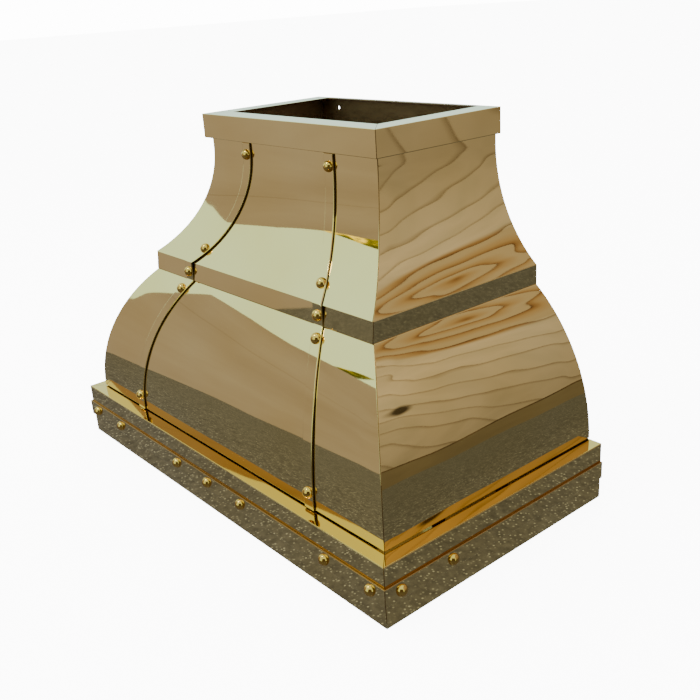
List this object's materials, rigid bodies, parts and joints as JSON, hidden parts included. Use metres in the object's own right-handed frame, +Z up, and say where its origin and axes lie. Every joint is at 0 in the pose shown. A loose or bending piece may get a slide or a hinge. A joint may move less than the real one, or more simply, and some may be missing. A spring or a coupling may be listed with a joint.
{
  "type": "range hood",
  "caption": "Wall-mounted kitchen range hood in polished brass: flared neck above a belt and a domed skirt, riveted straps, open top for the duct, and blower, baffle filters and lights inside.",
  "frame": {"origin": "middle of the hood's width, on the wall plane, level with the bottom edge of the base", "axes": "+X to the right seen from the front, +Y into the wall (the front faces -Y), +Z up"},
  "size_m": [1.0874, 0.5832, 0.741],
  "materials": {
    "polished_brass": "mirror polished",
    "rivet_brass": "polished",
    "galvanised_steel": "zinc coated",
    "brushed_stainless": "brushed",
    "mill_aluminium": "mill finish",
    "bright_steel": "bright zinc",
    "frosted_glass": "frosted",
    "black_plastic": "matt",
    "motor_black": "satin",
    "knob_steel": "brushed"
  },
  "bodies": {
    "shell": {"back_panel": "polished_brass", "lower_wall_rail": "galvanised_steel", "crown_front": "polished_brass", "crown_left": "polished_brass", "crown_right": "polished_brass", "flare_front": "polished_brass", "flare_left": "polished_brass", "flare_right": "polished_brass", "belt_front": "polished_brass", "belt_left": "polished_brass", "belt_right": "polished_brass", "dome_front": "polished_brass", "dome_left": "polished_brass", "dome_right": "polished_brass", "ledge_front": "polished_brass", "ledge_left": "polished_brass", "ledge_right": "polished_brass", "apron_front": "polished_brass", "apron_left": "polished_brass", "apron_right": "polished_brass", "strip_front": "polished_brass", "strip_left": "polished_brass", "strip_right": "polished_brass", "strap_left": "polished_brass", "strap_right": "polished_brass", "strap_rivets": "rivet_brass", "strip_rivets": "rivet_brass", "dome_brackets": "galvanised_steel", "liner_walls": "brushed_stainless", "liner_deck": "brushed_stainless", "light_panel": "brushed_stainless", "filter_hinge_rod": "brushed_stainless", "liner_screws": "bright_steel", "light_cans": "galvanised_steel", "light_bezels": "brushed_stainless", "light_lenses": "frosted_glass", "switch_bodies": "black_plastic", "blower_box_walls": "galvanised_steel", "blower_box_top": "galvanised_steel", "blower_box_screws": "bright_steel", "scroll_housing": "galvanised_steel", "motor_bracket": "galvanised_steel", "motor": "motor_black", "duct_collar": "galvanised_steel", "damper_pin": "brushed_stainless", "junction_box": "galvanised_steel", "junction_cover": "galvanised_steel", "motor_conduit": "black_plastic"},
    "blower": {"motor_shaft": "brushed_stainless", "blower_wheel": "mill_aluminium"},
    "damper_front": {"damper_flap_front": "mill_aluminium"},
    "damper_rear": {"damper_flap_rear": "mill_aluminium"},
    "filter_left": {"filter_left": "mill_aluminium", "filter_handle_left": "bright_steel"},
    "filter_centre": {"filter_centre": "mill_aluminium", "filter_handle_centre": "bright_steel"},
    "filter_right": {"filter_right": "mill_aluminium", "filter_handle_right": "bright_steel"},
    "fan_knob": {"knob_fan": "knob_steel"},
    "light_knob": {"knob_light": "knob_steel"}
  },
  "joints": [
    {"name": "blower_spin", "type": "hinge", "parent": "shell", "child": "blower", "pos_m": [0, -0.2, 0.25], "axis": [1, 0, 0], "continuous": true},
    {"name": "damper_front_swing", "type": "hinge", "parent": "shell", "child": "damper_front", "pos_m": [0, -0.165, 0.434], "axis": [-1, 0, 0], "range_deg": [0, 78]},
    {"name": "damper_rear_swing", "type": "hinge", "parent": "shell", "child": "damper_rear", "pos_m": [0, -0.165, 0.434], "axis": [1, 0, 0], "range_deg": [0, 78]},
    {"name": "filter_left_swing", "type": "hinge", "parent": "shell", "child": "filter_left", "pos_m": [-0.326, -0.047, 0.033], "axis": [1, 0, 0], "range_deg": [0, 85]},
    {"name": "filter_centre_swing", "type": "hinge", "parent": "shell", "child": "filter_centre", "pos_m": [0, -0.047, 0.033], "axis": [1, 0, 0], "range_deg": [0, 85]},
    {"name": "filter_right_swing", "type": "hinge", "parent": "shell", "child": "filter_right", "pos_m": [0.326, -0.047, 0.033], "axis": [1, 0, 0], "range_deg": [0, 85]},
    {"name": "fan_knob_turn", "type": "hinge", "parent": "shell", "child": "fan_knob", "pos_m": [-0.06, -0.484, 0.02], "axis": [0, 0, 1], "range_deg": [0, 270]},
    {"name": "light_knob_turn", "type": "hinge", "parent": "shell", "child": "light_knob", "pos_m": [0.06, -0.484, 0.02], "axis": [0, 0, 1], "range_deg": [0, 270]}
  ]
}
